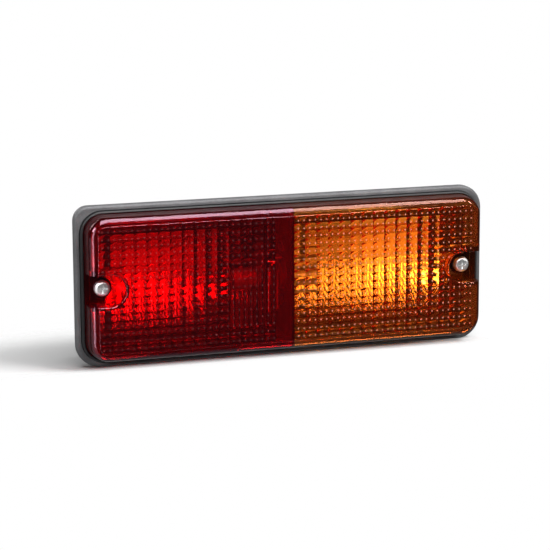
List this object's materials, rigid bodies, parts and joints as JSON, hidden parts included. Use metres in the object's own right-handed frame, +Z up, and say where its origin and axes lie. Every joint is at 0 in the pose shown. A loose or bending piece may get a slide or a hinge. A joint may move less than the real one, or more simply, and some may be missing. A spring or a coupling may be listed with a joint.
{
  "type": "tail light cluster",
  "caption": "Rectangular vehicle tail light with a red and an amber pillow-optic lens, screw notches at the ends, black rim, rubber base gasket and studs at the back.",
  "frame": {"origin": "middle of the mounting face, which is the back of the base gasket", "axes": "+X along the lamp towards the amber half, +Z up, lens facing -Y and studs along +Y"},
  "size_m": [0.2196, 0.0616, 0.0826],
  "materials": {
    "housing": "black moulded plastic",
    "gasket": "matt rubber",
    "red_lens": "clear red",
    "amber_lens": "clear amber",
    "seal": "matt rubber",
    "zinc": "bright zinc plate",
    "brass": "bright brass",
    "reflector": "bright rolled",
    "insulator": "brown laminate",
    "bulb": "clear glass with a brass cap"
  },
  "bodies": {
    "root": {"housing": "housing", "base_gasket": "gasket", "lens_red": "red_lens", "lens_amber": "amber_lens", "lens_seal": "seal", "lens_screws": "zinc", "lens_screw_inserts": "brass", "reflector_red": "reflector", "reflector_amber": "reflector", "reflector_rivets": "zinc", "socket_stop_tail": "zinc", "socket_indicator": "zinc", "socket_rivets": "zinc", "contact_insulator_stop_tail": "insulator", "contact_insulator_indicator": "insulator", "contact_stop": "brass", "contact_tail": "brass", "contact_indicator": "brass", "earth_strip": "brass", "bulb_stop_tail": "bulb", "bulb_indicator": "bulb", "mounting_studs": "zinc", "cable_grommet": "seal"}
  },
  "joints": []
}
